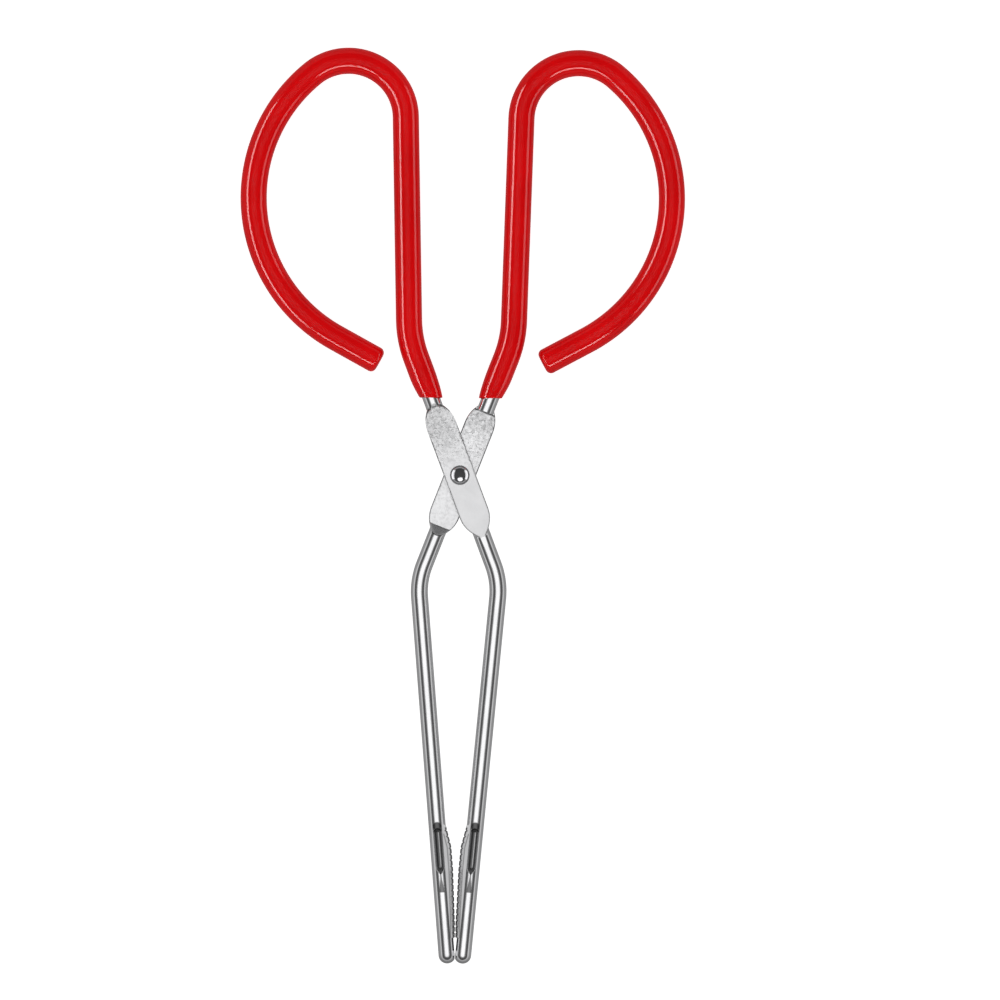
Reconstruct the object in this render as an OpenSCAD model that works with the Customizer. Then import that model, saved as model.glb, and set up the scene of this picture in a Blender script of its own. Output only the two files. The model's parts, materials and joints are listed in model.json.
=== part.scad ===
// Scissor tongs: two identical bent steel rods, flattened where they cross,
// riveted together, and sheathed in vinyl at the finger loops.
// They lie flat on the XY plane: handles towards +Y, jaws towards -Y.

/* [Rod] */
// Diameter of the steel rod
rod_d = 6; // [5:0.1:7]
// Angle of each crossing rod from the centre line, in degrees
cross_angle = 21; // [18:0.5:24]

/* [Blade] */
// Width of the flattened blade at the rivet
blade_w = 10.6; // [9:0.1:12]
// How far the blade's outer face is set below the rod's surface
blade_set = 0.1; // [0.05:0.05:0.6]
// Rivet to the square step on the handle side
blade_to_handle = 23.8; // [20:0.1:26]
// Rivet to the sloped shoulder on the jaw side
blade_to_jaw = 19.1; // [17:0.1:22]
// Length over which the blade widens on the handle side
handle_taper = 10; // [6:0.5:12]
// Length over which the blade widens on the jaw side
jaw_taper = 8; // [5:0.5:10]
// Gap between the two blades
blade_gap = 0.2; // [0.1:0.05:0.4]

/* [Handle] */
// Full sleeve before the handle bend
neck_straight = 5.1; // [2:0.1:15]
// Radius of the handle bend
neck_r = 40; // [25:1:50]
// Outward lean of the handle shank, in degrees
shank_lean = 1.5; // [0:0.5:5]
// Straight length of the handle shank
shank_len = 70.7; // [50:0.1:90]
// Radius of the small arc over the top of the finger loop
loop_top_r = 20; // [16:0.5:26]
// Angle of that arc, in degrees
loop_top_angle = 128.5; // [115:0.5:135]
// Radius of the large arc down the outside of the finger loop
loop_side_r = 56; // [45:0.5:62]
// Angle of that arc, in degrees
loop_side_angle = 111.5; // [95:0.5:115]
// Gap from the finger loop's free end to the line of the shank
loop_mouth = 3.6; // [2:0.1:10]

/* [Jaw] */
// Straight rod between the blade and the knee bend
knee_straight = 10; // [5:0.5:20]
// Radius of the knee bend
knee_r = 26; // [15:1:35]
// Length from the knee bend to the tip
jaw_reach = 128.2; // [105:0.1:155]
// Length of the pressed jaw, up to the tip
jaw_len = 48.5; // [42:0.1:55]
// How far the toothed edge stands out from the side of the rod
pad_rise = 1.4; // [0.8:0.1:1.6]
// Thickness of the toothed edge
pad_t = 4.6; // [3.5:0.1:5]
// Length of the ramp up to the toothed edge
pad_ramp = 8; // [4:0.5:10]
// Length at the tip that has no teeth
tip_len = 9; // [6:0.5:12]
// How far the inside of the tip is set back from the side of the rod
tip_relief = 0.4; // [0.2:0.1:0.8]
// Gap between the insides of the closed tips
tip_gap = 0.24; // [0.1:0.02:1]
// Gap between the closed jaws' teeth
jaw_gap = 0.2; // [0.1:0.05:0.4]
// Spacing of the teeth
tooth_pitch = 2.1; // [1.5:0.1:3]
// Depth of the teeth
tooth_depth = 0.55; // [0.3:0.05:0.8]
// Radius of the groove pressed into each face of the jaw
groove_r = 2.3; // [1.8:0.1:2.6]
// Depth of that groove
groove_depth = 0.9; // [0.5:0.05:1.2]
// Length of that groove at its full depth
groove_len = 15; // [10:1:22]
// Length over which it runs out
groove_fade = 10; // [6:1:14]

/* [Rivet] */
// Diameter of the rivet's shank
rivet_d = 3.6; // [3:0.1:4.2]
// Diameter of the rivet's two heads
rivet_head_d = 6.8; // [6:0.1:8]
// Height of the domed head on the front
rivet_head_h = 2.4; // [1.5:0.1:2.8]
// Height of the low head on the back
rivet_tail_h = 1.3; // [0.8:0.1:1.6]
// Radial clearance of the shank in the blades
rivet_clearance = 0.05; // [0.03:0.01:0.1]
// Clearance under the head on the back
rivet_play = 0.05; // [0.03:0.01:0.15]

/* [Grip] */
// Wall of the vinyl sleeve
grip_wall = 1.6; // [1.2:0.1:2.5]
// Bare rod between the blade's square step and the open end of the sleeve
bare_rod = 5.9; // [4:0.1:12]
// Length over which the sleeve thins towards its open end
grip_taper = 9; // [5:0.5:10]
// Wall of the sleeve at its open end
grip_lip = 1.1; // [0.8:0.1:1.5]
// Vinyl beyond the end of the rod
grip_cap = 3; // [2:0.5:6]
// Rounding of the sleeve's closed end
grip_round = 2; // [0.6:0.1:2.5]
// Clearance between the sleeve and the rod
grip_clearance = 0.04; // [0.03:0.01:0.1]

/* [Hidden] */

$fn = 64;
steel = "silver";
vinyl = "crimson";

rod_r = rod_d / 2;
grip_r = rod_r + grip_wall;
blade_front = rod_r - blade_set;            // height of the blade's outer face
handle_lead = 3.7;                          // blade outline beyond the square step
jaw_lead = 4.4;                             // blade outline beyond the sloped shoulder
shoulder_run = 3.4;                         // length of the sloped shoulder
blade_curve = 2.4;                          // how full the blade's rounded ends are
clear = 3 * rod_d;                          // reach of a cut past the rod
run_on = 0.2;                               // how far a straight runs on into a bend
bend_swell = 0.01;                          // how far a bend stands proud of a straight
grip_start = blade_to_handle + bare_rod;
neck_len = grip_start + grip_taper + neck_straight;
knee_start = blade_to_jaw + jaw_lead + knee_straight;
jaw_shoulder = jaw_reach - jaw_len;         // knee to the start of the pressed jaw
pad_end = jaw_len - tip_len;                // end of the toothed edge, from that start

// The inward lean at which the closed tips stand tip_gap apart
tip_x = rod_r - tip_relief + tip_gap / 2;
tip_reach = jaw_reach - rod_r;
jaw_lean = acos((tip_x + knee_r * cos(cross_angle) - knee_start * sin(cross_angle))
                / norm([tip_reach, knee_r])) - atan2(tip_reach, knee_r);

// The straight at the loop's free end, from the end of its large arc towards the shank
loop_turn = loop_top_angle + loop_side_angle;
arcs_width = loop_top_r - (loop_top_r - loop_side_r) * cos(loop_top_angle) - loop_side_r * cos(loop_turn);
loop_tail = (arcs_width - grip_r * (1 - cos(loop_turn)) - loop_mouth) / -sin(loop_turn);

// Each step of a bent rod is [straight length, bend radius, bend angle];
// a positive angle turns left.
handle_bend = cross_angle - shank_lean;
handle_steps = [
    [neck_len, neck_r, -handle_bend],
    [shank_len, loop_top_r, loop_top_angle],
    [0, loop_side_r, loop_side_angle],
    [loop_tail, 0, 0]
];
knee_bend = cross_angle + jaw_lean;
knee_steps = [[knee_start, knee_r, -knee_bend]];

// The same steps with start taken off the first straight and finish off the last
function trimmed(steps, start, finish) = [
    for (i = [0 : len(steps) - 1])
        [steps[i][0] - (i == 0 ? start : 0) - (i == len(steps) - 1 ? finish : 0),
         steps[i][1], steps[i][2]]
];

// Place and heading, [x, y, h], of a rod that starts at [x, y] after n of its steps
function walk(x, y, h, steps, n, i = 0) =
    i == n ? [x, y, h] :
    let (s = steps[i], side = sign(s[2]), h2 = h + s[2])
    walk(x + s[0] * cos(h) + side * s[1] * (sin(h2) - sin(h)),
         y + s[0] * sin(h) - side * s[1] * (cos(h2) - cos(h)),
         h2, steps, n, i + 1);

// The ends of the tongs along Y, measured from the rivet
loop_start = walk(0, 0, 90 + cross_angle, [handle_steps[0], [shank_len, 0, 0]], 2);
sleeve_r = grip_r + 2 * bend_swell;
loop_top_y = loop_start[1] + loop_top_r * (1 + cos(loop_start[2])) + sleeve_r;
knee_end = walk(0, 0, 270 + cross_angle, knee_steps, 1);
tip_y = knee_end[1] + tip_reach * sin(knee_end[2]) - rod_r;
middle_y = (loop_top_y + tip_y) / 2;
rest_z = max(sleeve_r, blade_front + rivet_play + rivet_tail_h);

// Distance from the jaw rod's axis to the closing plane, at y along the jaw rod
function to_centre(y) = (knee_end[0] - jaw_gap / 2 - sin(jaw_lean) * y) / cos(jaw_lean);

// Distance from that axis to the toothed edge, at y from the start of the pressed jaw
function bite(y) = min(to_centre(jaw_shoulder + y), rod_r + pad_rise * min(1, y / pad_ramp,
                       (pad_end + pad_ramp - y) / (pad_end - pad_ramp)));

// Half width of the blade at y along the rod
function blade_half(y) = let (
    crown = sqrt(pow(rod_r, 2) - pow(blade_front, 2)),
    t_handle = (blade_to_handle + handle_lead - y) / handle_taper,
    t_jaw = (y + blade_to_jaw + jaw_lead) / jaw_taper,
    t = max(0, min(1, t_handle, t_jaw))
) crown + (blade_w / 2 - crown) * (1 - pow(1 - t, blade_curve));

// A rod of diameter d that starts at the origin along +Y, with children at its far end
module bent_rod(d, steps, i = 0) {
    if (i == len(steps))
        children();
    else {
        s = steps[i];
        side = sign(s[2]);
        back = i == 0 ? 0 : run_on;
        ahead = side == 0 ? 0 : run_on;
        if (s[0] > 0)
            translate([0, -back, 0]) rotate([-90, 0, 0]) cylinder(d = d, h = s[0] + back + ahead);
        translate([0, s[0], 0]) {
            if (side != 0)
                bend(d + 2 * bend_swell * (1 + i % 2), s[1], s[2]);
            translate([side * s[1] * (cos(s[2]) - 1), s[1] * sin(abs(s[2])), 0])
                rotate([0, 0, s[2]]) bent_rod(d, steps, i + 1) children();
        }
    }
}

module bend(d, r, angle) {
    past_end = run_on / r * 180 / PI;
    mirror([angle < 0 ? 1 : 0, 0, 0]) translate([-r, 0, 0])
        rotate_extrude(angle = abs(angle) + past_end, $fn = 128)
            translate([r, 0]) circle(d = d, $fn = 64);
}

module blade_outline() {
    low = -blade_to_jaw - jaw_lead;
    high = blade_to_handle + handle_lead;
    rungs = 36;
    ys = [for (i = [0 : rungs]) low + (high - low) * i / rungs];
    polygon(concat([for (y = ys) [blade_half(y), y]],
                   [for (i = [rungs : -1 : 0]) [-blade_half(ys[i]), ys[i]]]));
}

// A side view, [y, z], cut right across the blade
module across(points) {
    rotate([90, 0, 90]) linear_extrude(height = clear, center = true) polygon(points);
}

// The room beside the blade for the other arm
module lap_cut() {
    slope = (clear + blade_gap / 2) * shoulder_run / (rod_r + blade_gap / 2);
    across([[-blade_to_jaw, blade_gap / 2], [blade_to_handle, blade_gap / 2],
            [blade_to_handle, -clear], [-blade_to_jaw - slope, -clear]]);
}

// The flat on the blade's outer face
module face_cut() {
    across([[-blade_to_jaw - jaw_lead, blade_front], [blade_to_handle, blade_front],
            [blade_to_handle + handle_lead, clear], [-blade_to_jaw - jaw_lead, clear]]);
}

module blade() {
    difference() {
        union() {
            translate([0, -knee_start - run_on, 0]) rotate([-90, 0, 0])
                cylinder(d = rod_d, h = knee_start + neck_len + 2 * run_on);
            translate([0, 0, blade_gap / 2])
                linear_extrude(height = blade_front - blade_gap / 2) blade_outline();
        }
        lap_cut();
        face_cut();
        cylinder(r = rivet_d / 2 + rivet_clearance, h = clear, center = true);
    }
}

// Plan of the toothed edge, cut at the closing plane
module pad_outline() {
    ys = concat([for (y = [pad_ramp : tooth_pitch : pad_end]) y], [pad_end]);
    polygon(concat([[0, 0], [rod_r - tip_relief, 0]], [for (y = ys) [bite(y), y]],
                   [[rod_r - tip_relief, pad_end], [0, pad_end]]));
}

module tooth() {
    side = tooth_depth * sqrt(2);
    rotate([0, 0, 45]) cube([side, side, clear], center = true);
}

// A ball-nosed groove that runs out towards the tip
module groove() {
    translate([0, groove_r, rod_r + groove_r - groove_depth]) {
        sphere(r = groove_r);
        rotate([-90, 0, 0]) cylinder(r = groove_r, h = groove_len);
        translate([0, groove_len, 0]) rotate([atan(groove_depth / groove_fade), 0, 0])
            rotate([-90, 0, 0]) cylinder(r = groove_r, h = 2 * groove_fade);
    }
}

// A straight rod along +Y with a domed far end
module domed_rod(length) {
    rotate([-90, 0, 0]) rotate_extrude() {
        square([rod_r, length - rod_r]);
        intersection() {
            translate([0, length - rod_r]) circle(r = rod_r);
            square([rod_r, length]);
        }
    }
}

// The straight rod past the knee, along +Y with the other jaw towards +X: it ends in
// a pressed, toothed jaw with a domed tip
module jaw() {
    difference() {
        union() {
            translate([0, -run_on, 0]) domed_rod(jaw_reach + run_on);
            translate([0, jaw_shoulder, -pad_t / 2]) linear_extrude(height = pad_t) pad_outline();
        }
        for (face = [0, 1])
            mirror([0, 0, face]) translate([0, jaw_shoulder, 0]) groove();
        for (y = [tooth_pitch : tooth_pitch : pad_end])
            translate([bite(y), jaw_shoulder + y, 0]) tooth();
        // the inside of the tip
        translate([rod_r - tip_relief, jaw_shoulder + pad_end, -clear / 2])
            cube([clear, clear, clear]);
        // everything past the closing plane
        rotate([0, 0, jaw_lean])
            translate([knee_end[0] - jaw_gap / 2, 0, -clear / 2]) cube([clear, 2 * jaw_reach, clear]);
    }
}

// One arm about the rivet: blade in front, handle to the left, jaw to the right
module arm() {
    rotate([0, 0, cross_angle]) {
        blade();
        translate([0, neck_len, 0]) bent_rod(rod_d, trimmed(handle_steps, neck_len, grip_cap));
        rotate([0, 0, 180]) translate([0, knee_start, 0])
            bent_rod(rod_d, trimmed(knee_steps, knee_start, 0)) jaw();
    }
}

// A straight stretch of sleeve that widens from its thin, rounded lip
module sleeve_lip() {
    lip_r = rod_r + grip_lip;
    edge = grip_lip / 2;
    rotate([-90, 0, 0]) rotate_extrude()
        polygon([[0, 0], [lip_r - edge, 0], [lip_r, edge], [grip_r, grip_taper], [0, grip_taper]]);
}

module sleeve_end() {
    rotate([-90, 0, 0]) rotate_extrude() {
        square([grip_r - grip_round, grip_round]);
        intersection() {
            translate([grip_r - grip_round, 0]) circle(r = grip_round);
            square([grip_r, grip_round]);
        }
    }
}

// The vinyl sleeve of that arm, open at the blade and closed over the rod's end
module grip() {
    rotate([0, 0, cross_angle]) translate([0, grip_start, 0]) difference() {
        union() {
            sleeve_lip();
            translate([0, grip_taper, 0])
                bent_rod(2 * grip_r, trimmed(handle_steps, grip_start + grip_taper, grip_round))
                    sleeve_end();
        }
        bent_rod(rod_d + 2 * grip_clearance, trimmed(handle_steps, grip_start, grip_cap));
    }
}

// A spherical cap on the plane z = 0
module rivet_head(height) {
    r = (pow(rivet_head_d / 2, 2) + pow(height, 2)) / (2 * height);
    rotate_extrude() intersection() {
        translate([0, height - r]) circle(r = r);
        square([rivet_head_d / 2, height]);
    }
}

// Puts children, made about the rivet, where the tongs lie on z = 0 about their middle
module lying() {
    translate([0, -middle_y, rest_z]) children();
}

// The other arm and its sleeve are the same pieces turned over about the centre line
module turned_over() {
    rotate([0, 180, 0]) children();
}

module front_arm() {
    color(steel) lying() arm();
}

module rear_arm() {
    color(steel) lying() turned_over() arm();
}

module left_grip() {
    color(vinyl) lying() grip();
}

module right_grip() {
    color(vinyl) lying() turned_over() grip();
}

module rivet() {
    back = -blade_front - rivet_play;
    color(steel) lying() {
        translate([0, 0, blade_front]) rivet_head(rivet_head_h);
        translate([0, 0, back]) cylinder(d = rivet_d, h = blade_front - back);
        translate([0, 0, back]) mirror([0, 0, 1]) rivet_head(rivet_tail_h);
    }
}

front_arm();
rear_arm();
left_grip();
right_grip();
rivet();
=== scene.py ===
# Scissor tongs: two crossed steel rods, pressed flat and riveted where they cross,
# with toothed jaws and red vinyl finger loops.
import json
import math

import bmesh
import bpy
import numpy as np
from mathutils import Matrix, Vector, noise


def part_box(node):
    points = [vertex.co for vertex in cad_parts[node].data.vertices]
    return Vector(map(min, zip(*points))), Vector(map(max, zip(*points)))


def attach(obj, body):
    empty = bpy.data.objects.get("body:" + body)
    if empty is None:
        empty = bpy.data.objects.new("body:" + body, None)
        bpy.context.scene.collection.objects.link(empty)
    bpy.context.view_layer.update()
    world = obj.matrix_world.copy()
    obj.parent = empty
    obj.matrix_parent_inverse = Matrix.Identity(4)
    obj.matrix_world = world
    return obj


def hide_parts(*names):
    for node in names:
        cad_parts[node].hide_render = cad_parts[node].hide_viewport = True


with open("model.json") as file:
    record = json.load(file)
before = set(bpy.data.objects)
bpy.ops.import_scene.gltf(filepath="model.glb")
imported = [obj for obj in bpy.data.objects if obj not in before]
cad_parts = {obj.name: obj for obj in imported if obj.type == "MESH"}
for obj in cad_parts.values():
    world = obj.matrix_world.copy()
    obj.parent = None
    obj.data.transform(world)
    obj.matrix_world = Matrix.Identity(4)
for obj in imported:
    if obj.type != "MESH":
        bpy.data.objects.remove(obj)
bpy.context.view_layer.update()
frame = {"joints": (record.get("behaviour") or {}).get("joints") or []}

mm = 0.001                      # sizes below are in millimetres, the scene is in metres
pivot = Vector(frame["joints"][0]["pos_m"])
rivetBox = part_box("rivet")
print("frame: rivet's box", rivetBox)


def deselectAll():
    if bpy.context.object and bpy.context.object.mode != "OBJECT":
        bpy.ops.object.mode_set(mode="OBJECT")
    bpy.ops.object.select_all(action="DESELECT")


def selectPoints(piece, test):
    # in edit mode, selects the points for which test(place) holds
    mesh = bmesh.from_edit_mesh(piece.data)
    bpy.ops.mesh.select_all(action="DESELECT")
    for point in mesh.verts:
        if test(point.co):
            point.select_set(True)
    mesh.select_flush(True)
    bmesh.update_edit_mesh(piece.data)


def settle(piece, name, creaseAngle, closeness=0.002):
    # ends a piece: its place in its mesh, doubles merged, faces outwards, smooth between creases
    deselectAll()
    piece.name = name
    piece.data.name = name
    piece.select_set(True)
    bpy.context.view_layer.objects.active = piece
    bpy.ops.object.transform_apply(location=True, rotation=True, scale=True)
    bpy.ops.object.mode_set(mode="EDIT")
    bpy.ops.mesh.select_all(action="SELECT")
    bpy.ops.mesh.remove_doubles(threshold=closeness * mm)
    bpy.ops.mesh.normals_make_consistent(inside=False)
    bpy.ops.object.mode_set(mode="OBJECT")
    bpy.ops.object.shade_smooth_by_angle(angle=math.radians(creaseAngle))
    return piece


class Trail:
    # follows the end ring of a rod or sleeve: its place, and its heading in degrees from +X
    def __init__(self, place, heading):
        self.place = Vector(place)
        self.heading = heading

    def ahead(self, distance):
        angle = math.radians(self.heading)
        return Vector((math.cos(angle), math.sin(angle), 0)) * distance

    def straight(self, length, rings=1, draw=True):
        if draw:
            step = self.ahead(length * mm / rings)
            for ring in range(rings):
                bpy.ops.mesh.extrude_region_move(TRANSFORM_OT_translate={"value": step})
        self.place = self.place + self.ahead(length * mm)

    def bend(self, radius, turn, rings=1, draw=True):
        # a positive turn goes left; spin counts its angle the other way
        side = math.copysign(1, turn)
        angle = math.radians(self.heading)
        centre = self.place + Vector((-math.sin(angle), math.cos(angle), 0)) * side * radius * mm
        if draw:
            bpy.ops.mesh.spin(
                steps=rings, angle=-math.radians(turn), center=centre, axis=(0, 0, 1))
        self.place = centre + Matrix.Rotation(math.radians(turn), 3, "Z") @ (self.place - centre)
        self.heading += turn


def widen(trail, factor):
    # makes the end ring wider or narrower about its own centre
    bpy.ops.transform.resize(value=(factor, factor, factor), center_override=trail.place)


def ringTurn(heading):
    # turns a new circle or sphere so that its axis lies along the heading
    return (math.radians(90), 0, math.radians(heading - 90))


def crossDirections():
    # along the front arm from the rivet to its handle, and across it
    angle = math.radians(90 + arm["crossAngle"])
    along = Vector((math.cos(angle), math.sin(angle), 0))
    return along, Vector((along.y, -along.x, 0))


def ease(value, low, high):
    t = min(1, max(0, (value - low) / (high - low)))
    return t * t * (3 - 2 * t)


# The steel arms: a round rod is drawn from the jaw's tip to the end of the finger loop,
# then its points are moved where the blade and the jaw are pressed.

arm = {
    "rodRadius": 3.0,
    "sides": 128,
    "tipRings": 40,
    "crossAngle": 21,           # of each arm from the centre line
    "kneeStart": 33.5,          # rivet to the knee bend
    "kneeRadius": 26,
    "kneeTurn": 26.0006,
    "kneeRings": 18,
    "jawReach": 128.2,          # knee bend to the tip
    "neck": 43.8,               # rivet to the handle bend
    "handleRadius": 40,
    "handleTurn": 19.5,
    "shank": 70.7,
    "topRadius": 20,
    "topTurn": 128.5,
    "sideRadius": 56,
    "sideTurn": 111.5,
    "tail": 17.42,              # straight at the loop's end, with its sleeve
    "sleeveCap": 3.0,           # vinyl past the end of the rod
    "endLength": 0.5,           # slightly narrowed end of the rod, inside the sleeve
    "endNarrowing": 0.85,
    "creaseAngle": 38,
    "mergeDistance": 0.0001,
}

blade = {
    "low": -23.0, "high": 27.5,         # ends of the widening, along the arm
    "lapLow": -19.1, "lapHigh": 23.8,   # ends of the lap face
    "shoulder": 3.4,                    # length of the sloped shoulder
    "halfWidth": 5.3,
    "lap": 0.1,                         # height of the lap face
    "face": 2.9,                        # height of the front face
    "jawTaper": 9.5, "handleTaper": 10,
    "fullness": 2.4,
    "cornerPower": 14,                  # how square the edges are
    "pressStart": (-27.5, -24), "pressEnd": (28, 31),
    "faceStart": (-29, -23),
    "thinning": 0.75, "thinningRun": (23.5, 26.5),
    "scoop": 0.34,                      # how far the face dips before the handle
    "scoopRun": (12, 22),
    "scoopEnd": 26.2,
    "archCurve": 0.16, "archSoftness": 0.9, "archEdge": 0.4,
    "faceMargin": 0.12, "lapMargin": 0.06,      # depth that still counts as pressed flat
    "leadIn": 5.0, "length": 52.3, "step": 0.05, "leadOut": 5.95,
    "end": 29.8,                        # where the rings of the blade stop
    "rings": 150, "leadOutRings": 16,
}

bladeSurface = {
    "hammer": 0.08,                     # depth of the pebbled surface
    "hammerScale": (1.25, 1.05, 7.0),
    "fineHammer": 0.6, "fineScale": 2.1,
    "facePebbles": (0.06, -7, 14),      # least, where it starts to rise, where it is full
    "lapPebbles": (0.60, -4, 14),
    "spotScale": 0.8, "spotShare": 0.35,
    # painted shade: the face darkens towards the handle end, where the light falls off
    "faceFalloffShade": (0.12, 4, 18),
    # painted shade before the arch where the face ends
    "archShade": (0.35, 0.8, 0.2),       # amount, and how far before the arch it starts and ends
    # random dark spots, with painted shade growing towards the handle end
    "lapSpotsAndShade": (0.45, 14, 21),
    # painted shade before the square step at the lap's handle end
    "stepShade": (0.6, 0.7, 0.3),
    # painted shade on the sloped shoulder
    "shoulderShade": 0.6,
}

jaw = {
    "shoulder": 79.7,           # knee bend to the start of the pressed jaw
    "lead": 1.6, "leadRings": 8,
    "padRise": 1.4, "padRamp": 8, "padEnd": 39.5,
    "facet": 52,                # direction of the slopes from the rod to the toothed edge
    "facetReach": 7,
    "toothPitch": 2.1, "toothDepth": 0.38,
    "toothRings": 10, "rings": 216,
    "tipInside": 2.6,
    "lean": 5.0006, "closing": 13.5333,
    "grooveRadius": 1.62, "grooveDepth": 1.45,
    "grooveStart": 1.0, "grooveFull": 13.5, "groovePinch": 16.5, "grooveStop": 22.4,
    "pinching": 0.7,
    "leastRadius": 0.5,         # of steel left under the groove
}

# how the jaw is painted darker: painted shade in the groove, on its cap, below its pinch and along
# the toothed edge and slope, and a darker tip
jawDarkening = {
    "tip": (0.4, 44.5, 48),
    "edge": (0.9, 0.7, 0.4), "edgeRun": (1, 44),
    "line": (0.5, 0.12, 0.3), "lineInset": 1.45, "lineStart": 3,
    "grooveLight": 0.3, "grooveDark": 0.65,
    "sideShade": (-0.6, -0.2), "farShade": (1.0, 1.25), "ballShade": (0.1, 0.8),
    "grooveEnd": 0.9, "grooveSink": (0.02, 0.3),
    "fan": 0.85, "fanWidth": 0.28, "fanGrowth": 0.62, "fanLead": 1.5,
    "fanEdge": (0.15, 0.1), "fanFace": 0.5,
    # painted shade of the groove's dark domed cap
    "punch": 0.95, "capShadeSize": (1.55, 1.5), "capShadeShift": 0.75, "capShadeEdge": (0.85, 1.1),
    "capShadeFace": 0.6,
}


def bladeHalf(y):
    crown = math.sqrt(arm["rodRadius"] ** 2 - blade["face"] ** 2)
    t = min(1, (blade["high"] - y) / blade["handleTaper"], (y - blade["low"]) / blade["jawTaper"])
    return crown + (blade["halfWidth"] - crown) * (1 - (1 - max(0, t)) ** blade["fullness"])


def slabRay(angle, half, rise):
    power = blade["cornerPower"]
    wide, high = abs(math.cos(angle) / half), abs(math.sin(angle) / rise)
    return (wide ** power + high ** power) ** (-1 / power)


def evenRays():
    # the directions that space the points evenly round the full blade's section
    rise = (blade["face"] - blade["lap"]) / 2
    angles = np.linspace(0, 2 * math.pi, 2881)
    radii = np.array([slabRay(angle, blade["halfWidth"], rise) for angle in angles])
    points = np.stack([radii * np.cos(angles), radii * np.sin(angles)], 1)
    run = np.concatenate([[0], np.cumsum(np.linalg.norm(np.diff(points, axis=0), axis=1))])
    return lambda share: float(np.interp(share * run[-1], run, angles))


def bladeShadeAndSpotsAt(across, y, up, upper, low, arch):
    # how dark a point of the blade is painted: shade on its face towards the handle and before the
    # arch, on the lap's shoulder and before its step, and spotted shade on the lap side
    look = bladeSurface
    if upper and y < arch + 0.3:
        # painted shade of the light's falloff towards the handle end
        amount, start, full = look["faceFalloffShade"]
        shadeAndDirt = amount * ease(y, start, full)
        # painted shade before the arch
        amount, start, full = look["archShade"]
        return shadeAndDirt + amount * ease(y, arch - start, arch - full)
    if upper or y > blade["lapHigh"] + 0.02:
        return 0.0
    shoulderEnd = blade["lapLow"] - blade["shoulder"]
    # painted shade on the sloped shoulder at the jaw end of the lap
    if shoulderEnd - 0.1 < y < blade["lapLow"] - 0.1 and up < low + 0.05:
        return look["shoulderShade"]
    # on the lap side: random dark spots, strengthened towards the handle end as painted shade
    scale = look["spotScale"]
    spots = max(0, noise.noise(Vector((across * scale, y * scale, 3))) + look["spotShare"])
    amount, start, full = look["lapSpotsAndShade"]
    shadeAndDirt = amount * spots * ease(y, start, full)
    # painted shade before the square step
    amount, start, full = look["stepShade"]
    return shadeAndDirt + amount * ease(y, blade["lapHigh"] - start, blade["lapHigh"] - full)


def pressBlade(x, y, z, rays):
    # where pressing moves a point of the round rod: x across, y along from the rivet, z up
    middle = (blade["face"] + blade["lap"]) / 2
    pressed = ease(y, *blade["pressStart"]) * (1 - ease(y, *blade["pressEnd"]))
    if pressed == 0:
        return x, z, 0, 0
    around = math.atan2(z, x) % (2 * math.pi)
    angle = (1 - pressed) * around + pressed * rays(around / (2 * math.pi))
    centre = pressed * middle
    radius = arm["rodRadius"]
    sine, cosine = math.sin(angle), math.cos(angle)
    reach = -centre * sine + math.sqrt((centre * sine) ** 2 + radius ** 2 - centre ** 2)
    slope = (blade["lapLow"] - y) / blade["shoulder"] * (radius + blade["lap"])
    low = blade["lap"] - max(0, slope)
    if blade["low"] < y < blade["high"]:
        rise = centre - max(low, -radius)
        if sine > 0:
            thinning = 1 - blade["thinning"] * ease(y, *blade["thinningRun"])
            rise = (blade["face"] - centre) * thinning
        reach = max(reach, slabRay(angle, bladeHalf(y), rise) * pressed)
    top = blade["face"] + (radius - blade["face"]) * (1 - ease(y, *blade["faceStart"]))
    if y > blade["lapHigh"]:
        top = radius
    if sine > 0:
        reach = min(reach, (top - centre) / sine)
    if y > blade["lapHigh"] + 0.01:
        low = -radius
    if sine < 0:
        reach = min(reach, (centre - low) / -sine)
    across, up = reach * cosine, centre + reach * sine
    # the face dips before the handle and ends in an arch
    arch = blade["scoopEnd"] - blade["archCurve"] * across ** 2
    inside = ease(y, *blade["scoopRun"]) * (1 - ease(y, arch - blade["archSoftness"], arch))
    floorHeight = top - blade["scoop"] * inside
    if up > floorHeight and y > 0:
        up = floorHeight
    flat = 0.0
    onFace = sine > 0 and up > floorHeight - blade["faceMargin"]
    if onFace and blade["low"] < y < arch - blade["archEdge"]:
        flat = 1.0
    onLap = sine < 0 and up < blade["lap"] + blade["lapMargin"]
    if onLap and blade["lapLow"] <= y <= blade["lapHigh"]:
        flat = 1.0
    shadeAndDirt = bladeShadeAndSpotsAt(across, y, up, sine > 0, low, arch) if sine else 0.0
    return across, up, flat, shadeAndDirt


def pebbling(y, side):
    # how pebbled the face is: most towards the handle, and more on the lap side
    least, start, full = bladeSurface["facePebbles" if side > 0 else "lapPebbles"]
    return least + (1 - least) * ease(y, start, full)


def hammering(x, y, side):
    wide, long, level = bladeSurface["hammerScale"]
    spot = Vector((x * wide, y * long, level * side))
    fine = bladeSurface["fineHammer"] * noise.noise(spot * bladeSurface["fineScale"])
    height = 0.5 + 0.5 * (noise.noise(spot) + fine)
    return bladeSurface["hammer"] * pebbling(y, side) * height


def toClosing(y):
    # from the middle of the jaw's rod to the line where the two jaws meet
    lean = math.radians(jaw["lean"])
    return (jaw["closing"] - math.sin(lean) * y) / math.cos(lean)


def biteAt(y):
    fall = (jaw["padEnd"] + jaw["padRamp"] - y) / (jaw["padEnd"] - jaw["padRamp"])
    rise = min(1, y / jaw["padRamp"], fall)
    return min(toClosing(jaw["shoulder"] + y), arm["rodRadius"] + jaw["padRise"] * rise)


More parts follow.
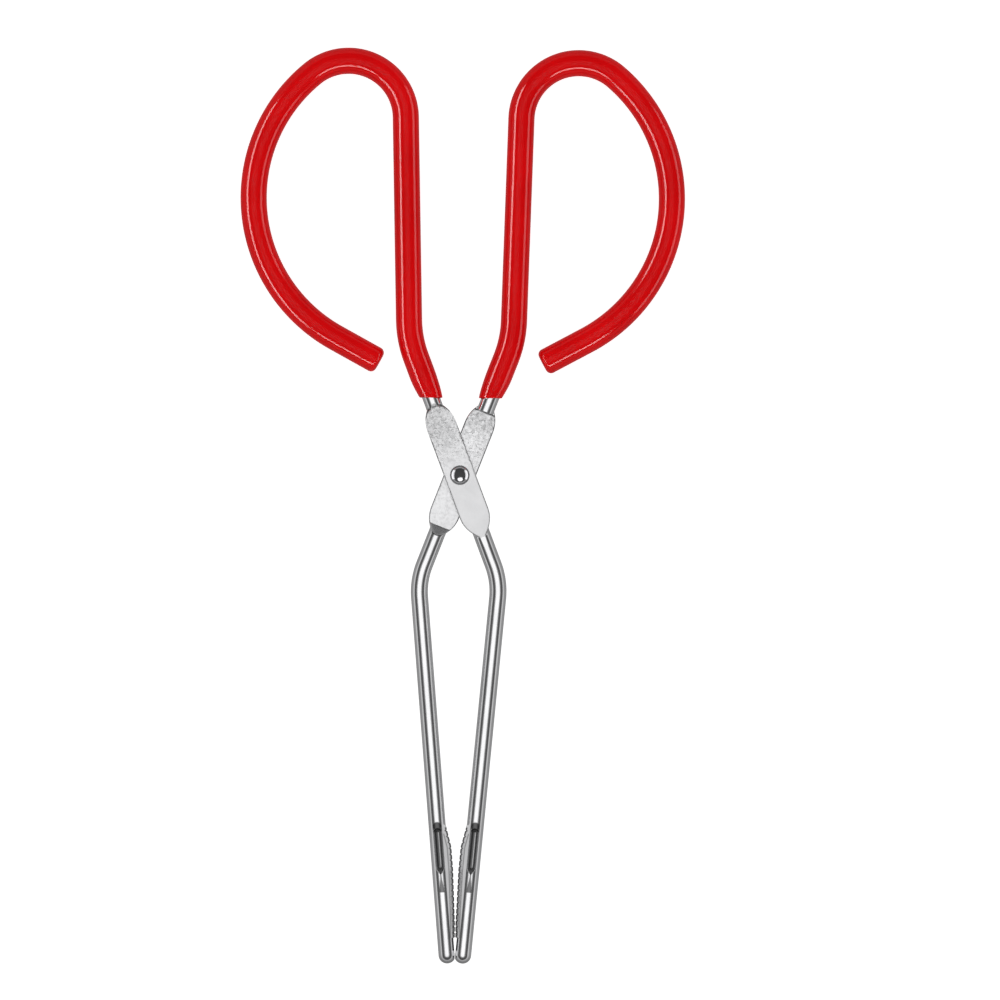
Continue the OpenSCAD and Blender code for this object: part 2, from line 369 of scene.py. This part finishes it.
def pressJaw(x, y, z, reach):
    # a point of the jaw's rod: x towards the other jaw, y from the start of the pressed jaw, z up
    look = jawDarkening
    angle = math.atan2(z, x)
    sine, cosine = math.sin(angle), math.cos(angle)
    # darker and rougher towards the tip
    amount, start, full = look["tip"]
    grime = amount * ease(y, start, full)
    limit = min(arm["rodRadius"], toClosing(jaw["shoulder"] + y))
    if 0 <= y <= jaw["padEnd"] and cosine > 0:
        bite = biteAt(y)
        facet = math.radians(jaw["facet"])
        if abs(angle) < facet:
            slope = arm["rodRadius"] / math.cos(abs(angle) - facet)
            reach = max(reach, min(slope, jaw["facetReach"]))
        tooth = round(y / jaw["toothPitch"]) * jaw["toothPitch"]
        notch = max(0, jaw["toothDepth"] - abs(y - tooth)) if tooth > 1 else 0
        limit = bite - notch
        if y > look["lineStart"]:
            # a thin line of painted shade along the slope
            amount, start, full = look["line"]
            line = abs(reach * cosine - bite + look["lineInset"])
            grime = max(grime, amount * (1 - ease(line, start, full)))
    elif y > jaw["padEnd"]:
        limit = min(jaw["tipInside"], limit)
    if cosine > 0:
        # painted shade along the toothed edge, where the teeth meet the other jaw
        first, last = look["edgeRun"]
        if first < y < last:
            amount, start, full = look["edge"]
            grime = max(grime, amount * ease(reach * cosine, limit - start, limit - full))
        reach = min(reach, limit / cosine)
    # a ball-nosed groove on the front and the back, which pinches in at its end
    y -= jaw["grooveStart"]
    start = jaw["grooveRadius"]
    full, pinch, stop = jaw["grooveFull"], jaw["groovePinch"], jaw["grooveStop"]
    narrowing = ease(y, full, pinch)
    width = 1 - jaw["pinching"] * narrowing
    deep = jaw["grooveDepth"] * (1 - narrowing)
    ball = max(0, start - y)
    if deep > 0 and 0 <= ball < start:
        radius = math.sqrt(start ** 2 - ball ** 2) * width
        high = arm["rodRadius"] + start * width - deep
        room = radius ** 2 - (high * cosine) ** 2
        if room > 0:
            cut = max(jaw["leastRadius"], high * abs(sine) - math.sqrt(room))
            # painted shade in the groove: a dark band on one side, a dark line at the far edge, a
            # dark ball end, and darker past the full depth
            side = reach * cosine * math.copysign(1, sine)
            dark = max(ease(side, *look["sideShade"]), ease(-side, *look["farShade"]),
                       ease(ball, *look["ballShade"]))
            shade = look["grooveLight"] + look["grooveDark"] * dark
            shade += (look["grooveEnd"] - shade) * ease(y, full - 1, full + 1)
            grime = max(grime, shade * ease(reach - cut, *look["grooveSink"]))
            reach = min(reach, cut)
    # painted shade fans out below the pinch, in place of the groove's dark end
    if pinch - look["fanLead"] < y < stop and abs(sine) > look["fanFace"]:
        fan = look["fanWidth"] + look["fanGrowth"] * ease(y, pinch, stop)
        inner, outer = look["fanEdge"]
        outside = ease(abs(reach * cosine), fan - inner, fan + outer)
        grime = max(grime, look["fan"] * (1 - outside))
    # painted shade of the dark domed cap above the groove
    if abs(sine) > look["capShadeFace"]:
        wide, long = look["capShadeSize"]
        mark = math.hypot(reach * cosine / wide, (y + look["capShadeShift"]) / long)
        grime = max(grime, look["punch"] * (1 - ease(mark, *look["capShadeEdge"])))
    return reach * cosine, reach * sine, grime


def drawRod():
    # the round rod, and the knee's end with the heading of the jaw
    route = Trail(pivot, 270 + arm["crossAngle"])
    route.straight(arm["kneeStart"], draw=False)
    route.bend(arm["kneeRadius"], -arm["kneeTurn"], draw=False)
    kneeEnd = Trail(route.place, route.heading)
    route.straight(arm["jawReach"] - arm["rodRadius"], draw=False)
    trail = Trail(route.place, route.heading + 180)

    deselectAll()
    bpy.ops.mesh.primitive_uv_sphere_add(
        segments=arm["sides"], ring_count=arm["tipRings"], radius=arm["rodRadius"] * mm,
        location=trail.place, rotation=ringTurn(trail.heading))
    piece = bpy.context.object
    bpy.ops.object.transform_apply(location=True, rotation=True, scale=True)
    bpy.ops.object.mode_set(mode="EDIT")
    tipCentre, forward = trail.place.copy(), trail.ahead(1)
    tiny = 0.01 * mm
    selectPoints(piece, lambda place: (place - tipCentre).dot(forward) > tiny)
    bpy.ops.mesh.delete(type="VERT")
    selectPoints(piece, lambda place: (place - tipCentre).dot(forward) > -tiny)

    pitch = jaw["toothPitch"] / jaw["toothRings"]
    domeTop = arm["jawReach"] - arm["rodRadius"] - jaw["shoulder"]
    trail.straight(domeTop - jaw["rings"] * pitch)
    trail.straight(jaw["rings"] * pitch, jaw["rings"])
    trail.straight(jaw["lead"], jaw["leadRings"])
    trail.straight(jaw["shoulder"] - jaw["lead"], 12)
    trail.bend(arm["kneeRadius"], arm["kneeTurn"], arm["kneeRings"])
    trail.straight(blade["leadIn"], 2)
    trail.straight(blade["length"], blade["rings"])     # up to the blade's square step
    trail.straight(blade["step"])
    trail.straight(blade["leadOut"], blade["leadOutRings"])
    trail.straight(arm["neck"] - blade["end"], 3)
    trail.bend(arm["handleRadius"], -arm["handleTurn"], 10)
    trail.straight(arm["shank"], 4)
    trail.bend(arm["topRadius"], arm["topTurn"], 40)
    trail.bend(arm["sideRadius"], arm["sideTurn"], 44)
    trail.straight(arm["tail"] - arm["sleeveCap"] - arm["endLength"], 2)
    trail.straight(arm["endLength"])
    widen(trail, arm["endNarrowing"])
    bpy.ops.mesh.edge_face_add()
    bpy.ops.object.mode_set(mode="OBJECT")
    return piece, kneeEnd


def pressArm(piece, kneeEnd):
    rays = evenRays()
    along, across = crossDirections()
    jawAlong = kneeEnd.ahead(1)
    jawAcross = Vector((jawAlong.y, -jawAlong.x, 0))    # towards the other jaw
    mesh = piece.data
    # the second attribute is how dark each point is painted: mostly painted shade at the blade's
    # steps and at the jaw's groove and edges, with spots and a darker tip
    for name in ("pressed", "grime", "pebbled"):
        mesh.attributes.new(name, "FLOAT", "POINT")
    pressed, shadeAndGrimeLayer, pebbled = (mesh.attributes[name] for name in ("pressed", "grime", "pebbled"))
    for index, point in enumerate(mesh.vertices):
        local = (point.co - pivot) / mm
        x, y = local.dot(across), local.dot(along)
        if -30 < y < 31 and abs(x) < 4:
            x, z, flat, shadeAndDirt = pressBlade(x, y, local.z, rays)
            side = 1 if z > 1.5 else -1
            if flat:
                z -= side * hammering(x, y, side)
            shadeAndGrimeLayer.data[index].value = shadeAndDirt
            pressed.data[index].value = flat
            pebbled.data[index].value = flat * pebbling(y, side)
            point.co = pivot + (across * x + along * y + Vector((0, 0, z))) * mm
            continue
        local = (point.co - kneeEnd.place) / mm
        x, y = local.dot(jawAcross), local.dot(jawAlong)
        if y > jaw["shoulder"] - jaw["lead"]:
            x, z, shadeAndDirt = pressJaw(x, y - jaw["shoulder"], local.z, math.hypot(x, local.z))
            shadeAndGrimeLayer.data[index].value = shadeAndDirt
            point.co = kneeEnd.place + (jawAcross * x + jawAlong * y + Vector((0, 0, z))) * mm


def punchHole(piece, radius):
    # the hole for the rivet's shank
    deselectAll()
    bpy.ops.mesh.primitive_cylinder_add(
        vertices=64, radius=radius * mm, depth=20 * mm, location=pivot)
    punch = bpy.context.object
    deselectAll()
    piece.select_set(True)
    bpy.context.view_layer.objects.active = piece
    cut = piece.modifiers.new("rivet hole", "BOOLEAN")
    cut.operation = "DIFFERENCE"
    cut.solver = "EXACT"
    cut.object = punch
    bpy.ops.object.modifier_apply(modifier=cut.name)
    bpy.data.objects.remove(punch)


def turnedOver(piece, name):
    # its own mesh, turned half round about the centre line through the rivet
    copy = piece.copy()
    copy.data = piece.data.copy()
    bpy.context.scene.collection.objects.link(copy)
    turn = (Matrix.Translation(pivot) @ Matrix.Rotation(math.pi, 4, "Y")
            @ Matrix.Translation(-pivot))
    copy.data.transform(turn)
    copy.name = name
    copy.data.name = name
    return copy


print("arm: drawing the rod from the tip")
frontArm, kneeEnd = drawRod()
print("arm: pressing the blade and the jaw")
pressArm(frontArm, kneeEnd)
punchHole(frontArm, 1.85)
settle(frontArm, "steel_arm_front", arm["creaseAngle"], arm["mergeDistance"])
rearArm = turnedOver(frontArm, "steel_arm_rear")


# The vinyl sleeves, drawn from the open end round the loop and back inside.

sleeve = {
    "sides": 96,
    "start": 29.7,              # rivet to the open end
    "outer": 4.6,
    "lip": 3.85,
    "lipDepth": 0.45,
    "inner": 3.04,
    "taper": 9,
    "rings": 12,                # round the lip, and again along the taper
    "taperSpacing": 1.5, "taperFullness": 2.2,
    "endRound": 2.0, "endRings": 10,
    "endCap": (2.0, 1.2, 0.5), "capStep": 0.02,
    "boreGap": 0.06,            # between the rod's end and the end of the bore
    "dipShift": 0.4,
    "creaseAngle": 50,
}


def drawSleeve(trail, inside):
    # from just past the lip to the loop's end, or back again for the inner wall
    steps = [
        ("straight", arm["neck"] - sleeve["start"] - sleeve["taper"], 0, 3),
        ("bend", arm["handleRadius"], -arm["handleTurn"], 12),
        ("straight", arm["shank"], 0, 12),
        ("bend", arm["topRadius"], arm["topTurn"], 56),
        ("bend", arm["sideRadius"], arm["sideTurn"], 60),
        ("straight", arm["tail"] - (arm["sleeveCap"] if inside else sleeve["endRound"]), 0, 4),
    ]
    if inside:
        steps = [(kind, size, -turn, rings) for kind, size, turn, rings in reversed(steps)]
    for kind, size, turn, rings in steps:
        if kind == "straight":
            trail.straight(size, rings)
        else:
            trail.bend(size, turn, rings)


def drawLip(trail):
    # the rolled lip, as half a turn round the wall's edge, then the taper to full width
    now = sleeve["inner"]
    wall = sleeve["lip"] - sleeve["inner"]
    rings = sleeve["rings"]
    gone = 0
    for ring in range(1, rings + 1):
        angle = math.pi * ring / rings
        radius = sleeve["inner"] + wall * (1 - math.cos(angle)) / 2
        depth = sleeve["lipDepth"] * (1 - math.sin(angle))
        bpy.ops.mesh.extrude_region_move(TRANSFORM_OT_translate={"value": (0, 0, 0)})
        move = trail.ahead((depth - sleeve["lipDepth"] - gone) * mm)
        bpy.ops.transform.translate(value=move)
        trail.place = trail.place + move
        gone = depth - sleeve["lipDepth"]
        widen(trail, radius / now)
        now = radius
    spacing = sleeve["taperSpacing"]
    for ring in range(1, rings + 1):
        share = (ring / rings) ** spacing
        fullness = 1 - (1 - share) ** sleeve["taperFullness"]
        radius = sleeve["lip"] + (sleeve["outer"] - sleeve["lip"]) * fullness
        trail.straight(sleeve["taper"] * (share - ((ring - 1) / rings) ** spacing))
        widen(trail, radius / now)
        now = radius
    return now


def closeEnd(trail, now):
    # the rounded closed end
    rings = sleeve["endRings"]
    turn = math.pi / 2 / rings
    for ring in range(1, rings + 1):
        angle = math.pi / 2 * ring / rings
        radius = sleeve["outer"] - sleeve["endRound"] * (1 - math.cos(angle))
        trail.straight(sleeve["endRound"] * (math.sin(angle) - math.sin(angle - turn)))
        widen(trail, radius / now)
        now = radius
    for radius in sleeve["endCap"]:
        trail.straight(sleeve["capStep"])
        widen(trail, radius / now)
        now = radius
    bpy.ops.mesh.merge(type="CENTER")


def levelMouth(piece):
    # the open end is level across, as the vinyl was dipped with the handles down
    along, across = crossDirections()
    slant = math.tan(math.radians(arm["crossAngle"]))
    for point in piece.data.vertices:
        local = (point.co - pivot) / mm
        reach = local.dot(along) - sleeve["start"]
        if -1 < reach < sleeve["taper"] + 1 and abs(local.dot(across)) < 6:
            level = -local.dot(across) * slant - sleeve["dipShift"]
            point.co += along * level * (1 - ease(reach, 0, sleeve["taper"])) * mm


def buildSleeve():
    print("sleeve: drawing the outside, the end and the inner wall")
    trail = Trail(pivot, 90 + arm["crossAngle"])
    trail.straight(sleeve["start"], draw=False)
    deselectAll()
    bpy.ops.mesh.primitive_circle_add(
        vertices=sleeve["sides"], radius=sleeve["inner"] * mm, location=trail.place,
        rotation=ringTurn(trail.heading))
    piece = bpy.context.object
    bpy.ops.object.transform_apply(location=True, rotation=True, scale=True)
    bpy.ops.object.mode_set(mode="EDIT")
    bpy.ops.mesh.select_all(action="SELECT")
    now = drawLip(trail)
    drawSleeve(trail, inside=False)
    closeEnd(trail, now)
    bpy.ops.object.mode_set(mode="OBJECT")

    # the inner wall, drawn back from the end of the bore
    boreEnd = trail.place - trail.ahead((arm["sleeveCap"] + sleeve["boreGap"]) * mm)
    inner = Trail(boreEnd, trail.heading + 180)
    deselectAll()
    bpy.ops.mesh.primitive_circle_add(
        vertices=sleeve["sides"], radius=sleeve["inner"] * mm, location=boreEnd,
        fill_type="TRIFAN", rotation=ringTurn(inner.heading))
    bore = bpy.context.object
    bpy.ops.object.transform_apply(location=True, rotation=True, scale=True)
    bpy.ops.object.mode_set(mode="EDIT")
    selectPoints(bore, lambda place: (place - boreEnd).length > mm)
    drawSleeve(inner, inside=True)
    inner.straight(sleeve["taper"], 2)
    bpy.ops.object.mode_set(mode="OBJECT")
    deselectAll()
    bore.select_set(True)
    piece.select_set(True)
    bpy.context.view_layer.objects.active = piece
    bpy.ops.object.join()
    levelMouth(piece)
    return piece


leftSleeve = settle(buildSleeve(), "vinyl_sleeve_left", sleeve["creaseAngle"])
rightSleeve = turnedOver(leftSleeve, "vinyl_sleeve_right")


# The rivet.

rivet = {
    "headRadius": 3.4,
    "domeHeight": 2.4,
    "domeFullness": 0.92,
    "domeRings": 16,
    "rim": 0.25, "rimBevel": (0.08, 0.05),
    "tailHeight": 1.3,
    "tailBevel": 0.05,
    "tailRings": 10,
    "crown": 0.12,              # radius of the last ring before the middle
    "shank": 1.8,
    "face": 2.9, "back": -2.95,
    "sides": 72,
    "creaseAngle": 50,
}


def raiseRings(radii, heights, now, level):
    # draws the end ring through each radius and height
    for wide, high in zip(radii, heights):
        bpy.ops.mesh.extrude_region_move(
            TRANSFORM_OT_translate={"value": (0, 0, (high - level) * mm)})
        bpy.ops.transform.resize(value=(wide / now, wide / now, 1), center_override=pivot)
        now, level = wide, high
    bpy.ops.mesh.merge(type="CENTER")


def buildRivet():
    print("rivet: domed head, shank and low back head")
    deselectAll()
    radius, height, rim = rivet["headRadius"], rivet["domeHeight"], rivet["rim"]
    shank, face, back = rivet["shank"], rivet["face"], rivet["back"]
    bpy.ops.mesh.primitive_circle_add(
        vertices=rivet["sides"], radius=shank * mm, location=pivot + Vector((0, 0, back * mm)))
    piece = bpy.context.object
    bpy.ops.object.transform_apply(location=True, rotation=True, scale=True)
    bpy.ops.object.mode_set(mode="EDIT")
    bpy.ops.mesh.select_all(action="SELECT")

    inset, lift = rivet["rimBevel"]
    radii = [shank, radius - inset, radius, radius]
    heights = [face, face, face + lift, face + rim]
    for ring in range(1, rivet["domeRings"] + 1):
        angle = math.pi / 2 * ring / rivet["domeRings"]
        radii.append(max(rivet["crown"], radius * math.cos(angle) ** rivet["domeFullness"]))
        heights.append(face + rim + (height - rim) * math.sin(angle))
    raiseRings(radii, heights, shank, back)

    low = pivot.z + (back + 0.01) * mm
    selectPoints(piece, lambda place: place.z < low)
    bevel = rivet["tailBevel"]
    radii, heights = [radius - bevel, radius], [back, back - bevel]
    for ring in range(1, rivet["tailRings"] + 1):
        angle = math.pi / 2 * ring / rivet["tailRings"]
        radii.append(max(rivet["crown"], radius * math.cos(angle)))
        heights.append(back - bevel - (rivet["tailHeight"] - bevel) * math.sin(angle))
    raiseRings(radii, heights, shank, back)
    bpy.ops.object.mode_set(mode="OBJECT")
    return settle(piece, "domed_rivet", rivet["creaseAngle"])


rivetPiece = buildRivet()


# Finishes.

class Channel:
    # one output of a shader node; sums on channels add Math nodes
    def __init__(self, tree, socket=None):
        self.tree = tree
        self.socket = socket

    def node(self, kind, settings=None, inputs=None, output=0):
        made = self.tree.nodes.new(kind)
        for name, value in (settings or {}).items():
            if name == "stops":
                while len(made.color_ramp.elements) < len(value):
                    made.color_ramp.elements.new(0.5)
                for element, (place, grey) in zip(made.color_ramp.elements, value):
                    element.position = place
                    element.color = (grey, grey, grey, 1)
            else:
                setattr(made, name, value)
        for name, value in (inputs or {}).items():
            if isinstance(value, Channel):
                self.tree.links.new(value.socket, made.inputs[name])
            else:
                made.inputs[name].default_value = value
        return Channel(self.tree, made.outputs[output])

    def maths(self, operation, first, second):
        return self.node("ShaderNodeMath", {"operation": operation}, {0: first, 1: second})

    def __add__(self, other):
        return self.maths("ADD", self, other)

    __radd__ = __add__

    def __sub__(self, other):
        return self.maths("SUBTRACT", self, other)

    def __rsub__(self, other):
        return self.maths("SUBTRACT", other, self)

    def __mul__(self, other):
        return self.maths("MULTIPLY", self, other)

    __rmul__ = __mul__

    def ramp(self, *stops):
        return self.node("ShaderNodeValToRGB", {"stops": stops}, {"Fac": self})

    def mix(self, first, second):
        # the colour that lies between first and second, with this channel as the share
        return self.node("ShaderNodeMix", {"data_type": "RGBA"}, {0: self, 6: first, 7: second}, 2)

    def into(self, shader, name):
        self.tree.links.new(self.socket, shader.inputs[name])


def newFinish(name, constants):
    material = bpy.data.materials.new(name)
    material.use_nodes = True
    shader = material.node_tree.nodes["Principled BSDF"]
    for socket, value in constants.items():
        shader.inputs[socket].default_value = value
    graph = Channel(material.node_tree)
    place = graph.node("ShaderNodeTexCoord", output="Object")
    return material, shader, graph, place


def cloud(graph, place, scale, detail=3.0, roughness=0.5, warp=0.0):
    return graph.node("ShaderNodeTexNoise", {}, {
        "Vector": place, "Scale": scale, "Detail": detail, "Roughness": roughness,
        "Distortion": warp})


def marked(graph, name):
    # what the arms' points carry under this name
    return graph.node("ShaderNodeAttribute", {"attribute_name": name}, output="Fac")


def bumped(graph, shader, strength, distance, height):
    bump = graph.node("ShaderNodeBump", {}, {
        "Strength": strength, "Distance": distance * mm, "Height": height})
    bump.into(shader, "Normal")


steel = {
    "plating": 0.80, "rivetPlating": 0.42,
    "gloss": 0.07, "rivetGloss": 0.08,  # roughness of the bare plating
    "dullness": 0.86, "shadeAndDirt": 0.09,     # shares of the plating's colour
    "bump": (0.8, 0.34),
}


def plating(name, grey, gloss):
    material, shader, graph, place = newFinish(name, {"Metallic": 1.0, "Specular IOR Level": 0.5})
    pressed, grime, pebbled = (marked(graph, part) for part in ("pressed", "grime", "pebbled"))
    broad = cloud(graph, place, 90)
    fine = cloud(graph, place, 900, 4, 0.6)
    pebbles = cloud(graph, place, 850, 2, 0.5, 0.4)
    specks = cloud(graph, place, 3600, 2)
    tone = (grey, grey, grey + 0.01)    # faintly blue
    bright = (*tone, 1)
    dull = tuple(part * steel["dullness"] for part in tone) + (1,)
    shadeAndDirt = tuple(part * steel["shadeAndDirt"] for part in tone) + (1,)
    metal = (broad.ramp((0.35, 0.0), (0.68, 1.0)) * 0.6 + pressed * 0.5).mix(bright, dull)
    # painted shade in the hollows of the pebbled faces, where the bump is lowest
    hollowShade = pebbled * pebbles.ramp((0.36, 1.0), (0.56, 0.0)) * 0.2
    # the base colour darkens by the points' painted shade and spots, and by the hollow shade
    (grime + hollowShade).mix(metal, shadeAndDirt).into(shader, "Base Color")
    plain = gloss + fine * 0.05 + broad * 0.03
    (plain + grime * 0.2 + pressed * 0.27 - pebbled * 0.15).into(shader, "Roughness")
    bumped(graph, shader, *steel["bump"],
           fine * 0.012 + broad * 0.04 + pebbled * (pebbles + specks * 0.2))
    return material


steelFinish = plating("plated_steel_finish", steel["plating"], steel["gloss"])
rivetFinish = plating("rivet_steel_finish", steel["rivetPlating"], steel["rivetGloss"])

vinylSkin = {
    "deep": (0.52, 0.0012, 0.002, 1),
    "warm": (0.60, 0.0018, 0.003, 1),
    "worn": (0.57, 0.006, 0.008, 1),
    "wear": 0.35,
    "gloss": 0.09,
    "shine": 0.16,
    "bump": (0.25, 0.4),
}


def vinyl(name):
    material, shader, graph, place = newFinish(name, {
        "Specular IOR Level": vinylSkin["shine"], "IOR": 1.5})
    broad = cloud(graph, place, 45)
    fine = cloud(graph, place, 700, 3, 0.55)
    scuffs = cloud(graph, place, 160, 5, 0.7, 1.2).ramp((0.56, 0.0), (0.74, 1.0))
    body = broad.ramp((0.35, 0.0), (0.65, 1.0)).mix(vinylSkin["deep"], vinylSkin["warm"])
    (scuffs * vinylSkin["wear"]).mix(body, vinylSkin["worn"]).into(shader, "Base Color")
    (vinylSkin["gloss"] + fine * 0.04 + scuffs * 0.06).into(shader, "Roughness")
    bumped(graph, shader, *vinylSkin["bump"], broad + fine * 0.05)
    return material


vinylFinish = vinyl("red_vinyl_finish")

for piece, finish, body, node, slot in [
    (frontArm, steelFinish, "front", "front_arm", "plated_steel"),
    (rearArm, steelFinish, "rear", "rear_arm", "plated_steel"),
    (leftSleeve, vinylFinish, "front", "left_grip", "red_vinyl"),
    (rightSleeve, vinylFinish, "rear", "right_grip", "red_vinyl"),
    (rivetPiece, rivetFinish, "front", "rivet", "rivet_steel"),
]:
    piece.data.materials.clear()
    piece.data.materials.append(finish)
    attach(piece, body)
    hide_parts(node)
    print("piece:", piece.name, len(piece.data.polygons), "faces on", body)


# Floor, light and camera, in metres.

studio = {
    "floorSize": 6.0,
    "floorHeight": -0.0002,
    "floorTones": ((0.93, 0.93, 0.93, 1), (0.95, 0.95, 0.95, 1)),
    "floorGlow": 0.95,
    "worldStrength": 1.3,
    "worldTones": ((0.0, 0.24), (0.48, 0.28), (0.58, 0.54), (0.68, 0.50), (0.715, 0.075),
                   (1.0, 0.10)),        # from below to straight above
    "height": 1.945,
    "aim": (0.0141, 0.0023),
    "lens": 200,
    "turn": 0.6,
}

deselectAll()
bpy.ops.mesh.primitive_plane_add(
    size=studio["floorSize"], location=(0, 0, studio["floorHeight"]))
floor = bpy.context.object
floor.name = "floor"
material, shader, graph, place = newFinish("pale_floor", {
    "Roughness": 0.9, "Specular IOR Level": 0.0, "Emission Color": (1, 1, 1, 1),
    "Emission Strength": studio["floorGlow"]})
cloud(graph, place, 3, 2).mix(*studio["floorTones"]).into(shader, "Base Color")
floor.data.materials.append(material)
floor.visible_glossy = False

world = bpy.data.worlds.new("studio")
bpy.context.scene.world = world
world.use_nodes = True
background = world.node_tree.nodes["Background"]
graph = Channel(world.node_tree)
direction = graph.node("ShaderNodeTexCoord", output="Generated")
height = graph.node("ShaderNodeSeparateXYZ", inputs={0: direction}, output=2)
(height * 0.5 + 0.5).ramp(*studio["worldTones"]).into(background, "Color")
background.inputs["Strength"].default_value = studio["worldStrength"]


def softLight(name, place, size, power, onlyOn, shape="RECTANGLE"):
    # a soft lamp that faces the middle of the floor and lights only the pieces named
    light = bpy.data.lights.new(name, "AREA")
    light.shape = shape
    light.size, light.size_y = size
    light.energy = power
    lamp = bpy.data.objects.new(name, light)
    bpy.context.scene.collection.objects.link(lamp)
    lamp.location = place
    lamp.rotation_euler = (Vector() - Vector(place)).to_track_quat("-Z", "Y").to_euler()
    group = bpy.data.collections.new(name + "_receivers")
    for piece in onlyOn:
        group.objects.link(piece)
    lamp.light_linking.receiver_collection = group
    return lamp


arms = [frontArm, rearArm]
sleeves = [leftSleeve, rightSleeve]
softLight("overhead", (0, 0.01, 2.5), (2.15, 2.15), 13, arms, "DISK")
softLight("overhead_wide", (0, 0.01, 2.5), (3.4, 3.4), 12, arms, "DISK")
fill = softLight("sleeve_fill", (0, 0.05, 1.6), (1.2, 1.2), 25, sleeves)
fill.visible_glossy = False
for name, place, size, power in [
    ("left_strip", (-1.63, -0.1, 1.16), (2.9, 0.5), 95),
    ("right_strip", (1.7, 0.0, 0.6), (2.6, 0.6), 22),
    ("low_strip", (0.0, -1.4, 1.4), (2.4, 0.4), 60),
]:
    strip = softLight(name, place, size, power, sleeves)
    strip.visible_diffuse = False
softLight("rivet_left", (-1.4, 0.1, 0.55), (2.2, 1.15), 15, [rivetPiece])
softLight("rivet_right", (1.4, 0.1, 0.55), (2.2, 1.15), 15, [rivetPiece])
softLight("rivet_low", (0.1, -0.95, 1.4), (1.15, 1.15), 9, [rivetPiece], "DISK")

camera = bpy.data.cameras.new("camera")
camera.lens = studio["lens"]
camera.sensor_width = 36
camera.clip_start = 0.01
eye = bpy.data.objects.new("camera", camera)
bpy.context.scene.collection.objects.link(eye)
eye.location = (*studio["aim"], studio["height"])
eye.rotation_euler = (0, 0, math.radians(studio["turn"]))
bpy.context.scene.camera = eye
bpy.context.scene.view_settings.view_transform = "Standard"
print("studio: floor, lights and camera")
